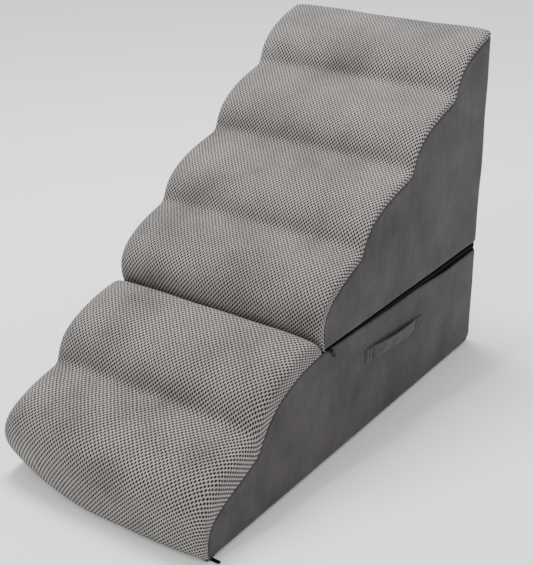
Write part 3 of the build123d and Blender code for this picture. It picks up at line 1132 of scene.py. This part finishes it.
@dataclass
class SidePanel:
    """A velvet side: under the tread seam at the front, then up to the joining zip or the top."""

    name: str
    right: bool
    seam: Profile
    seam_start: float
    foot: Callable[[np.ndarray], np.ndarray]
    rim: tuple[np.ndarray, np.ndarray] | None
    box: SoftBox
    body: Body
    replaces: tuple[str, ...]
    puckers: tuple[Pucker, ...] = ()
    rows: int = 49
    columns: int = 150
    fullness: float = 1.4 * MM
    calm_edge: float = 0.03
    thickness: float = 2.0 * MM

    def top_line(self) -> np.ndarray:
        """The panel's upper edge, front to back, as (Y, Z)."""
        along = self.seam.at(self.seam.evenly(self.columns, self.seam_start))
        if self.rim is None:
            return along
        at = np.linspace(along[-1, 0] + 4 * MM, BACK, self.columns)
        z = np.interp(at - FRONT, *self.rim)
        return np.concatenate([along, np.stack([at, z], 1)])

    def build(self) -> None:
        """Makes the panel."""
        top = self.top_line()
        bottom_y = np.maximum.accumulate(top[:, 0])
        bottom = np.stack([bottom_y, self.foot(bottom_y)], 1)
        rise = (1 - np.cos(np.linspace(0, math.pi, self.rows))) / 2
        yz = bottom[None] + (top - bottom)[None] * rise[:, None, None]
        y, z = yz[..., 0], yz[..., 1]
        height = np.linalg.norm(top - bottom, axis=1)[None]
        below_seam = (1 - rise)[:, None] * height
        flat = np.stack([np.full_like(y, SIDE), y, z], -1)
        seed = 5 if self.right else 23
        full = self.fullness * np.sin(math.pi * rise)[:, None] * np.clip(height / 0.2, 0, 1)
        wavy = Ripple(seed, 0.21, 1.0 * MM).at(flat) + Ripple(seed + 1, 0.07, 0.22 * MM).at(flat)
        above_foot = rise[:, None] * height
        edge = np.clip(np.minimum(below_seam, above_foot) / self.calm_edge, 0, 1)
        out = full + wavy * edge - tuck(below_seam, 6 * MM, 2.4 * MM)
        out -= tuck(above_foot, 5 * MM, 1.5 * MM) if self.rim is None else 0.0
        for pucker in self.puckers:
            out += pucker.at(y, z)
        side = 1 if self.right else -1
        flat[..., 0] *= side
        flat = self.box.soften(flat)
        flat[..., 0] += side * out
        if not self.right:
            flat = flat[:, ::-1]
        points, faces = shell(flat[:, ::-1], -self.thickness)
        faces = [f[:, ::-1] for f in faces]
        Piece(self.name, points, faces, VELVET, Slot.VELVET, self.body, self.replaces).make()


@dataclass
class BackPanel:
    """A velvet back, between the corner seams, with a slit where a zip shows."""

    name: str
    foot: float
    top: float
    box: SoftBox
    body: Body
    replaces: tuple[str, ...]
    slit: Place | None = None
    fullness: float = 1.6 * MM
    calm_edge: float = 0.04
    thickness: float = 2.0 * MM

    def build(self) -> None:
        """Makes the panel."""
        x = np.linspace(SIDE, -SIDE, 91)
        z = np.linspace(self.foot, self.top, 65)
        if self.slit:
            low, high, reach = self.slit
            z[np.abs(z - low).argmin()] = low
            z[np.abs(z - high).argmin()] = high
            x[np.abs(x - reach).argmin()] = reach
            x[np.abs(x + reach).argmin()] = -reach
        xs, zs = np.meshgrid(x, z)
        flat = np.stack([xs, np.full_like(xs, BACK), zs], -1)
        share = (zs - self.foot) / (self.top - self.foot)
        edge = np.minimum(np.minimum(zs - self.foot, self.top - zs), SIDE - np.abs(xs))
        full = self.fullness * np.sin(math.pi * share) * np.cos(xs / SIDE * math.pi / 2)
        out = full + Ripple(41, 0.2, 1.0 * MM).at(flat) * np.clip(edge / self.calm_edge, 0, 1)
        out -= tuck(edge, 5 * MM, 2 * MM)
        keep = None
        if self.slit:
            low, high, reach = self.slit
            near = np.clip(np.minimum(np.abs(zs - low), np.abs(zs - high)) / 0.012, 0, 1)
            out = out * near
            mid_x, mid_z = (x[1:] + x[:-1]) / 2, (z[1:] + z[:-1]) / 2
            keep = ~((np.abs(mid_x) < reach)[None] & ((mid_z > low) & (mid_z < high))[:, None])
        grid = self.box.soften(flat)
        grid[..., 1] += out
        points, faces = shell(grid, self.thickness, keep)
        Piece(self.name, points, faces, VELVET, Slot.VELVET, self.body, self.replaces).make()


def under_the_nose(x: np.ndarray) -> np.ndarray:
    """Where the underside starts: at the tread's edge, or behind the zip where there is one.

    Args:
        x: positions across.

    Returns:
        The Y of the cloth's front edge.
    """
    edge = FRONT + TREAD_EDGE - NOSE_BOW * (1 - np.abs(x / SIDE) ** NOSE_ROUND)
    return np.where(x < LOWER_ZIP_FROM, edge, FRONT + BEHIND_ZIP)


def behind_the_edge(x: np.ndarray) -> np.ndarray:
    """Where the cloths between the blocks start, straight across.

    Args:
        x: positions across.

    Returns:
        The Y of the cloth's front edge.
    """
    return np.full_like(x, DECK_Y + 5 * MM)


@dataclass
class LevelCloth:
    """A level sheet of base cloth: the underside, or the cloth between the blocks."""

    name: str
    front: Callable[[np.ndarray], np.ndarray]
    back: float
    reach: float
    z: float
    up: bool
    body: Body
    replaces: tuple[str, ...]
    sag: float = 0.0
    box: SoftBox | None = None
    calm_edge: float = 0.03
    thickness: float = 1.4 * MM

    def build(self) -> None:
        """Makes the sheet."""
        x = np.linspace(-self.reach, self.reach, 61)
        front = self.front(x)[None]
        ys = front + (self.back - front) * np.linspace(0, 1, 111)[:, None]
        xs = np.repeat(x[None], len(ys), 0)
        grid = np.stack([xs, ys, np.full_like(xs, self.z)], -1)
        if self.box:
            grid = self.box.soften(grid)
        edge = np.minimum(self.reach - np.abs(xs), np.minimum(ys - front, self.back - ys))
        facing = 1 if self.up else -1
        lift = Ripple(61, 0.13, self.sag).at(grid) - self.sag
        turned_in = 0.0 if self.box else tuck(edge, 6 * MM, 2 * MM)
        grid[..., 2] += facing * (lift * np.clip(edge / self.calm_edge, 0, 1) - turned_in)
        if not self.up:
            grid = grid[:, ::-1]
        points, faces = shell(grid, self.thickness)
        Piece(self.name, points, faces, BASE_CLOTH, Slot.BASE, self.body, self.replaces).make()


@dataclass
class FoamCore:
    """The foam inside a cover: the tread's shape set in, with a flat foot and back."""

    name: str
    cover: TreadCover
    foot: float
    body: Body
    replaces: tuple[str, ...]
    nose_foot: float = 0.0
    deck: float | None = None
    inset: float = 5.5 * MM
    every: int = 6

    def build(self) -> None:
        """Makes the core."""
        rows = self.cover.grid[3:-3:2, 8:-8 : self.every]
        rows = rows - normals_of(rows) * self.inset
        limit = SIDE - self.inset
        rows[..., 0] = np.clip(rows[..., 0], -limit, limit)
        rows[..., 1] = np.minimum(rows[..., 1], BACK - self.inset)
        rows[..., 2] = np.maximum(rows[..., 2], self.foot + 2 * MM)
        if self.deck:
            ahead = rows[..., 1].mean(1) < DECK_Y - 4 * MM
            rows = rows[ahead]
            ys = np.linspace(DECK_Y + 4 * MM, BACK - self.inset, 40)
            level = np.repeat(rows[-1:], len(ys), 0)
            level[..., 1] = ys[:, None]
            level[..., 2] = self.deck
            rows = np.concatenate([rows, level])
        left, right = rows[:, :1].copy(), rows[:, -1:].copy()
        over_zip = right[..., 1] < FRONT + LOWER_ZIP_DEPTH
        for feet in (left, right):
            feet[..., 2] = np.where(over_zip, self.nose_foot, self.foot)
            feet[..., 1] = np.maximum(feet[..., 1], feet[0, 0, 1])
        inner = (np.array(self.cover.box.low) + self.inset, np.array(self.cover.box.high) - self.inset)
        shape = replace(self.cover.box, low=tuple(inner[0]), high=tuple(inner[1]), toe_in=(0.0, 0.0))
        ring = shape.soften(np.concatenate([left, rows, right], 1))
        count, sides = ring.shape[:2]
        number = np.arange(count * sides).reshape(count, sides)
        after = np.roll(number, -1, 1)
        turned = (number[:-1], after[:-1], after[1:], number[1:])
        faces = [np.stack(turned, -1).reshape(-1, 4), number[:1, ::-1], number[-1:]]
        points = ring.reshape(-1, 3)
        Piece(self.name, points, faces, FOAM, Slot.FOAM, self.body, self.replaces, fill=0.95).make()


# ---------------------------------------------------------------- the zips
@dataclass(frozen=True)
class ZipSizes:
    """Sizes common to the three zips."""

    tape: float = 0.6 * MM
    pitch: float = 2.6 * MM
    tooth: Place = (0.00195, 0.0011, 0.00078)
    tooth_at: float = 1.35 * MM
    clear: float = 1 * MM


ZIP = ZipSizes()


@dataclass
class JoinZip:
    """The zip all round between the blocks: two tapes standing on edge, and two rows of teeth."""

    inset: float = 2.3 * MM
    corner: float = 11.7 * MM
    gap: float = 6.2 * MM
    below: float = 17.0 * MM
    above: float = 13.5 * MM

    def path(self, step: float) -> tuple[np.ndarray, np.ndarray]:
        """The zip's line round the deck.

        Args:
            step: the wanted distance between points.

        Returns:
            The points, and the outward direction at each.
        """
        reach = SIDE - self.inset
        front, back = DECK_Y + 0.3 * MM, BACK - self.inset
        r = self.corner
        points, outs = [], []
        middles = (
            (reach - r, back - r, 0.0),
            (r - reach, back - r, 90.0),
            (r - reach, front + r, 180.0),
            (reach - r, front + r, 270.0),
        )
        for x, y, start in middles:
            for turn in np.radians(np.linspace(start, start + 90, 13)):
                out = (math.cos(turn), math.sin(turn), 0.0)
                points.append((x + r * out[0], y + r * out[1], 0.0))
                outs.append(out)
        points, outs = np.array(points), np.array(outs)
        loop, loop_out = np.vstack([points, points[:1]]), np.vstack([outs, outs[:1]])
        run = run_of(loop)
        count = 2 * round(run[-1] / step / 2)
        even = np.arange(count) * run[-1] / count
        out = resample(even, run, loop_out)
        return resample(even, run, loop), out / np.linalg.norm(out, axis=1, keepdims=True)

    def build(self) -> None:
        """Makes both tapes and both rows of teeth."""
        line, out = self.path(4 * MM)
        line = line + out * Ripple(71, 0.09, 0.25 * MM).at(line)[:, None]
        low, high = JOIN_Z - self.gap / 2, JOIN_Z + self.gap / 2
        bands = (
            ("join_zip_lower_band", JOIN_Z - self.below, low, Body.LOWER, "join_zip_lower_tape"),
            ("join_zip_upper_band", high, JOIN_Z + self.above, Body.UPPER, "join_zip_upper_tape"),
        )
        for name, z0, z1, body, node in bands:
            section = np.array([(0, z0), (0, z1), (-ZIP.tape, z1), (-ZIP.tape, z0)])
            points, faces = strip(line, out, section, True)
            Piece(name, points, faces, TAPE, Slot.TAPE, body, (node,)).make()
        teeth, out = self.path(ZIP.pitch / 2)
        taken = self.under_fittings(teeth)
        rows = (
            ("join_zip_lower_teeth", 0, -1, Body.LOWER, "join_zip_lower_coil"),
            ("join_zip_upper_teeth", 1, 1, Body.UPPER, "join_zip_upper_coil"),
        )
        for name, first, side, body, node in rows:
            pick = np.arange(first, len(teeth), 2)
            pick = pick[~taken[pick]]
            places = teeth[pick] + UP * (JOIN_Z + side * ZIP.tooth_at)
            points, faces = beads(places, UP, out[pick], ZIP.tooth)
            Piece(name, points, faces, NYLON, Slot.COIL, body, (node,)).make()

    @staticmethod
    def under_fittings(teeth: np.ndarray) -> np.ndarray:
        """Which teeth would stand inside the retaining box or the slider."""
        box_low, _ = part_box("join_zip_box")
        _, slider_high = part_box("join_zip_slider")
        inside = (teeth[:, 1] > box_low.y - ZIP.clear) & (teeth[:, 1] < slider_high.y + ZIP.clear)
        return inside & (teeth[:, 0] > 0)


@dataclass
class CoverZip:
    """A straight zip that closes one block's cover."""

    name: str
    body: Body
    facing: Place

    def build(self) -> None:
        """Makes the tapes and the teeth over the solid ones."""
        out = np.array(self.facing)
        for letter, row in (("a", Row.FIRST), ("b", Row.SECOND)):
            self.tape(letter, out)
            self.teeth(letter, row, out)

    def tape(self, letter: str, out: np.ndarray) -> None:
        """One woven tape.

        Args:
            letter: which of the two tapes.
            out: the way the zip faces.
        """
        node = f"{self.name}_zip_tape_{letter}"
        low, high = corners_of(node)
        x = np.linspace(low[0], high[0], 110)
        wide = 1 if abs(out[2]) > 0.5 else 2
        cross = np.linspace(low[wide], high[wide], 5)
        grid = np.zeros((len(cross), len(x), 3))
        grid[..., 0] = x[None]
        grid[..., wide] = cross[:, None]
        face = 2 if wide == 1 else 1
        grid[..., face] = (high if out[face] > 0 else low)[face]
        grid[..., face] += out[face] * Ripple(83, 0.07, 0.12 * MM).at(grid)
        if (normals_of(grid) @ out).mean() < 0:
            grid = grid[:, ::-1]
        points, faces = shell(grid, ZIP.tape)
        Piece(f"{self.name}_zip_band_{letter}", points, faces, TAPE, Slot.TAPE, self.body, (node,)).make()

    def teeth(self, letter: str, row: Row, out: np.ndarray) -> None:
        """One row of teeth.

        Args:
            letter: which of the two rows.
            row: the row that it is, whose teeth stand between the other's.
            out: the way the zip faces.
        """
        node = f"{self.name}_zip_coil_{letter}"
        low, high = corners_of(node)
        middle = (low + high) / 2
        other_low, other_high = corners_of(f"{self.name}_zip_coil_{'b' if letter == 'a' else 'a'}")
        centre = (middle + (other_low + other_high) / 2) / 2
        inward = (centre - middle) / np.linalg.norm(centre - middle)
        x = np.arange(low[0] + ZIP.pitch * row.value, high[0] - ZIP.pitch / 2, ZIP.pitch)
        slider_low, slider_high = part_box(f"{self.name}_zip_slider")
        x = x[(x < slider_low.x - ZIP.clear) | (x > slider_high.x + ZIP.clear)]
        places = np.repeat((centre - inward * ZIP.tooth_at)[None], len(x), 0)
        places[:, 0] = x
        points, faces = beads(places, inward, out, ZIP.tooth)
        Piece(f"{self.name}_zip_teeth_{letter}", points, faces, NYLON, Slot.COIL, self.body, (node,)).make()


# ---------------------------------------------------------------- the strap
@dataclass
class CarryStrap:
    """The flat velvet strap on the right side, sewn down at both ends."""

    start: float = 0.534
    end: float = 0.777
    start_z: float = 0.1765
    end_z: float = 0.1600
    width: float = 0.034
    tab: float = 0.035
    bow: float = 4.2 * MM
    lean: float = 3.4 * MM
    lift: float = 3.1 * MM
    thickness: float = 2.6 * MM
    press: float = 1.5 * MM
    unevenness: Ripple = Ripple(91, 0.035, 0.45 * MM)
    stitch: Place = (1.45 * MM, 0.45 * MM, 0.45 * MM)
    stitch_step: float = 3.4 * MM

    def centre(self, share: np.ndarray) -> tuple[np.ndarray, np.ndarray, np.ndarray]:
        """The strap's middle line.

        Args:
            share: how far along, from 0 to 1.

        Returns:
            Y, Z and the X of its outer face.
        """
        y = FRONT + self.start + (self.end - self.start) * share
        z = self.start_z + (self.end_z - self.start_z) * share
        tab = self.tab / (self.end - self.start)
        free = np.clip((share - tab) / (1 - 2 * tab), 0, 1)
        arch = np.sin(math.pi * free) ** 0.8
        x = SIDE + self.lift + self.bow * arch
        return y, z - 1.5 * MM * arch, x

    def build(self) -> None:
        """Makes the strap and its stitches."""
        share = np.linspace(0, 1, 170)
        y, z, x = self.centre(share)
        cross = np.linspace(-1, 1, 25)
        grid = np.zeros((len(cross), len(share), 3))
        grid[..., 1] = y[None]
        grid[..., 2] = z[None] + cross[:, None] * self.width / 2
        from_edge = (1 - np.abs(cross)) * self.width / 2
        lean = self.lean * cross[:, None] * np.sin(math.pi * share)[None]
        grid[..., 0] = x[None] - tuck(from_edge, 4 * MM, 1.8 * MM)[:, None] + lean
        pressed = np.zeros_like(share)
        for at in self.stitch_lines():
            pressed += np.exp(-(((y - at) / (1.6 * MM)) ** 2))
        grid[..., 0] -= self.press * pressed[None]
        grid[..., 0] += self.unevenness.at(grid)
        for pucker in STRAP_PUCKERS:
            grid[..., 0] += pucker.at(grid[..., 1], grid[..., 2])
        points, faces = shell(grid, self.thickness)
        Piece("carry_strap_velvet", points, faces, VELVET, Slot.VELVET, Body.LOWER, ("carry_strap",)).make()
        self.stitches()

    def stitch_lines(self) -> list[float]:
        """The Y of each row of stitches."""
        inner = self.tab - 2 * MM
        offsets = (self.start + 3 * MM, self.start + inner, self.end - inner, self.end - 3 * MM)
        return [FRONT + at for at in offsets]

    def stitches(self) -> None:
        """Makes the thread that holds both ends down."""
        places = []
        for at in self.stitch_lines():
            share = np.array([(at - FRONT - self.start) / (self.end - self.start)])
            _, z, x = self.centre(share)
            for k in range(-4, 5):
                places.append((x[0] - 1.3 * MM, at, z[0] + k * self.stitch_step))
        places = np.array(places)
        places[:, 0] += self.unevenness.at(places)
        points, faces = beads(places, UP, np.array([1.0, 0.0, 0.0]), self.stitch)
        Piece("carry_strap_stitches", points, faces, THREAD, Slot.VELVET, Body.LOWER).make()


STRAP_PUCKERS = (
    Pucker(FRONT + 0.768, 0.160, 0.016, 0.9 * MM, 0.009, 0.7),
    Pucker(FRONT + 0.552, 0.172, 0.014, 0.5 * MM, 0.011, 0.1),
)
PANEL_PUCKERS = (
    Pucker(FRONT + 0.792, 0.158, 0.026, 1.0 * MM, 0.014, 0.9),
    Pucker(FRONT + 0.780, 0.190, 0.022, 0.6 * MM, 0.017, 2.3),
    Pucker(FRONT + 0.520, 0.168, 0.018, 0.5 * MM, 0.013, 0.2),
    Pucker(FRONT + 0.640, 0.212, 0.045, 0.35 * MM, 0.030, 1.3),
)


# ---------------------------------------------------------------- the two blocks
CLOTH_MARGIN = 6 * MM


@dataclass
class LowerBlock:
    """Everything sewn to the lower block."""

    body: Body = Body.LOWER
    ground: float = 0.4 * MM
    back_top: float = 0.2385
    deck: float = 0.2495
    foam_foot: float = 4.0 * MM
    foam_over_zip: float = 10.5 * MM
    foam_deck: float = 0.2445
    facing: float = 2.0 * MM

    def build(self) -> None:
        """Makes the covers, the cloths and the foam."""
        cover = TreadCover(
            "lower_tread_net", LOWER_CROWN, LOWER_SEAM, LOWER_BOX, self.body,
            ("lower_tread_cover",), nose_bow=NOSE_BOW,
        )
        cover.build()
        for right in (True, False):
            hand = "right" if right else "left"
            SidePanel(
                f"lower_{hand}_velvet", right, LOWER_SEAM, 1.0,
                lambda y: np.full_like(y, self.ground), (RIM_AT, RIM_Z),
                LOWER_BOX, self.body, (f"lower_{hand}_panel",), PANEL_PUCKERS if right else (),
            ).build()
        BackPanel(
            "lower_back_velvet", self.ground, self.back_top, LOWER_BOX, self.body, ("lower_back_panel",)
        ).build()
        LevelCloth(
            "lower_base_cloth", under_the_nose, BACK, SIDE, self.ground, False, self.body,
            ("lower_base_panel",), box=LOWER_BOX,
        ).build()
        LevelCloth(
            "lower_deck_cloth", behind_the_edge, BACK - CLOTH_MARGIN, SIDE - CLOTH_MARGIN, self.deck,
            True, self.body, ("lower_deck_panel",), sag=0.8 * MM,
        ).build()
        FoamCore(
            "lower_foam", cover, self.foam_foot, self.body, ("lower_foam_core",),
            self.foam_over_zip, self.foam_deck,
        ).build()
        self.facings()

    def facings(self) -> None:
        """Makes the two strips of base cloth behind the zip under the nose."""
        low, high = corners_of("lower_zip_facings")
        sway = (high[1] - low[1]) / 80
        points, faces, shift = [], [], 0
        for y0, y1 in ((low[1], low[1] + self.facing), (high[1] - self.facing, high[1])):
            x = np.linspace(low[0], high[0], 90)
            line = np.stack([x, np.full_like(x, (y0 + y1) / 2), np.zeros_like(x)], 1)
            line[:, 1] += Ripple(97, 0.08, sway).at(line)
            half = (y1 - y0) / 2
            edges = ((-half, low), (-half * 0.6, high), (half * 0.6, high), (half, low))
            section = np.array([(outward, corner[2]) for outward, corner in edges])
            some, quad = strip(line, np.array([0.0, 1.0, 0.0]), section, False)
            points.append(some)
            faces += [f + shift for f in quad]
            shift += len(some)
        whole, replaced = np.concatenate(points), ("lower_zip_facings",)
        Piece("lower_zip_cloth", whole, faces, BASE_CLOTH, Slot.BASE, self.body, replaced).make()


@dataclass
class UpperBlock:
    """Everything sewn to the upper block."""

    body: Body = Body.UPPER
    foot: float = 0.2592
    foot_dip: Ripple = Ripple(33, 0.12, 0.5 * MM)
    back_top: float = 0.7395
    base: float = 0.2508
    foam_foot: float = 0.2555
    slit_width: float = 12.0 * MM
    slit_margin: float = 0.024

    def foot_line(self, y: np.ndarray) -> np.ndarray:
        """The height of the side panels' lower edge, which dips a little behind the joining zip.

        Args:
            y: positions from front to back.

        Returns:
            The heights.
        """
        dip = self.foot_dip.at(np.stack([y * 0, y, y * 0], -1))
        return self.foot + dip * np.clip((y - DECK_Y) / 0.05, 0, 1)

    def build(self) -> None:
        """Makes the covers, the cloth and the foam."""
        cover = TreadCover(
            "upper_tread_net", UPPER_CROWN, UPPER_SEAM, UPPER_BOX, self.body, ("upper_tread_cover",)
        )
        cover.build()
        for right in (True, False):
            hand = "right" if right else "left"
            SidePanel(
                f"upper_{hand}_velvet", right, UPPER_SEAM, 0.0, self.foot_line, None, UPPER_BOX,
                self.body, (f"upper_{hand}_panel",),
            ).build()
        tapes = [corners_of(f"upper_zip_tape_{letter}") for letter in "ab"]
        middle = np.mean(tapes, axis=(0, 1))[2]
        half = self.slit_width / 2
        slit = (middle - half, middle + half, SIDE - self.slit_margin)
        BackPanel(
            "upper_back_velvet", self.foot, self.back_top, UPPER_BOX, self.body,
            ("upper_back_panel",), slit,
        ).build()
        LevelCloth(
            "upper_base_cloth", behind_the_edge, BACK - CLOTH_MARGIN, SIDE - CLOTH_MARGIN, self.base,
            False, self.body, ("upper_base_panel",), sag=0.4 * MM,
        ).build()
        FoamCore("upper_foam", cover, self.foam_foot, self.body, ("upper_foam_core",)).build()


@dataclass
class Fittings:
    """The metal and moulded parts, which keep their own shapes."""

    metal: tuple[str, ...] = (
        "join_zip_slider", "join_zip_pull", "join_zip_box", "lower_zip_slider", "lower_zip_pull",
        "lower_zip_end_stop", "upper_zip_slider", "upper_zip_pull", "upper_zip_end_stop",
    )

    def dress(self) -> None:
        """Gives every fitting its enamel."""
        for name in self.metal:
            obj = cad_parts[name]
            obj.data.materials.clear()
            obj.data.materials.append(ENAMEL.material())
            LOG.info("%s: dressed", name)


# ---------------------------------------------------------------- the studio
@dataclass
class Studio:
    """The floor, the lights and the camera, whose angles are in degrees."""

    eye: Place = (1.26972, -1.74438, 1.29388)
    heading: float = 35.5526
    tilt: float = -25.0893
    roll: float = -0.3871
    lens: float = 73.05
    sun_way: Place = (0.285, 1.256, -1.0)
    sun_power: float = 0.6
    sun_spread: float = 1.5
    soft_place: Place = (-0.7, 0.5, 3.4)
    soft_aim: Place = (0.0, 0.1, 0.3)
    soft_size: float = 1.4
    soft_power: float = 135.0
    sky: float = 1.05
    floor_tint: Tint = (0.93, 0.93, 0.93, 1.0)

    def build(self) -> None:
        """Sets up the whole studio."""
        self.camera()
        self.floor()
        self.lights()

    def camera(self) -> None:
        """Stands the camera at the viewing angle."""
        data = bpy.data.cameras.new("camera")
        data.lens = self.lens
        data.sensor_width = 36.0
        data.clip_end = 50.0
        obj = add_object("camera", data)
        turned = Matrix.Translation(self.eye)
        for angle, axis in ((self.heading, "Z"), (90 + self.tilt, "X"), (self.roll, "Z")):
            turned = turned @ Matrix.Rotation(math.radians(angle), 4, axis)
        obj.matrix_world = turned
        bpy.context.scene.camera = obj

    def floor(self) -> None:
        """Lays the pale floor."""
        mesh = bpy.data.meshes.new("floor")
        reach = 14.0
        corners = [(-reach, -reach, 0), (reach, -reach, 0), (reach, reach, 0), (-reach, reach, 0)]
        mesh.from_pydata(corners, [], [(0, 1, 2, 3)])
        obj = add_object("floor", mesh)
        material = bpy.data.materials.new("pale floor")
        material.use_nodes = True
        surface = material.node_tree.nodes["Principled BSDF"]
        surface.inputs["Base Color"].default_value = self.floor_tint
        surface.inputs["Roughness"].default_value = 0.9
        surface.inputs["Specular IOR Level"].default_value = 0.0
        mesh.materials.append(material)

    def lights(self) -> None:
        """Hangs the soft lights and the one that casts the shadow."""
        world = bpy.data.worlds.new("studio")
        world.use_nodes = True
        sky = world.node_tree.nodes["Background"]
        sky.inputs["Color"].default_value = (1.0, 1.0, 1.0, 1.0)
        sky.inputs["Strength"].default_value = self.sky
        bpy.context.scene.world = world
        sun = bpy.data.lights.new("sun", "SUN")
        sun.energy = self.sun_power
        sun.angle = math.radians(self.sun_spread)
        self.aim(add_object("sun", sun), Vector(self.sun_way))
        soft = bpy.data.lights.new("top light", "AREA")
        soft.size = self.soft_size
        soft.energy = self.soft_power
        lamp = add_object("top light", soft)
        lamp.location = self.soft_place
        self.aim(lamp, Vector(self.soft_aim) - Vector(self.soft_place))

    @staticmethod
    def aim(lamp: bpy.types.Object, way: Vector) -> None:
        """Turns a light.

        Args:
            lamp: the light.
            way: the direction that it shines in.
        """
        lamp.rotation_euler = way.to_track_quat("-Z", "Y").to_euler()


def main() -> None:
    """Builds the studio, then each part of the ramp in order."""
    logging.basicConfig(level=logging.INFO, format="%(message)s")
    Studio().build()
    LowerBlock().build()
    UpperBlock().build()
    JoinZip().build()
    CoverZip("lower", Body.LOWER, (0.0, 0.0, -1.0)).build()
    CoverZip("upper", Body.UPPER, (0.0, 1.0, 0.0)).build()
    CarryStrap().build()
    Fittings().dress()


if __name__ == "__main__":
    main()
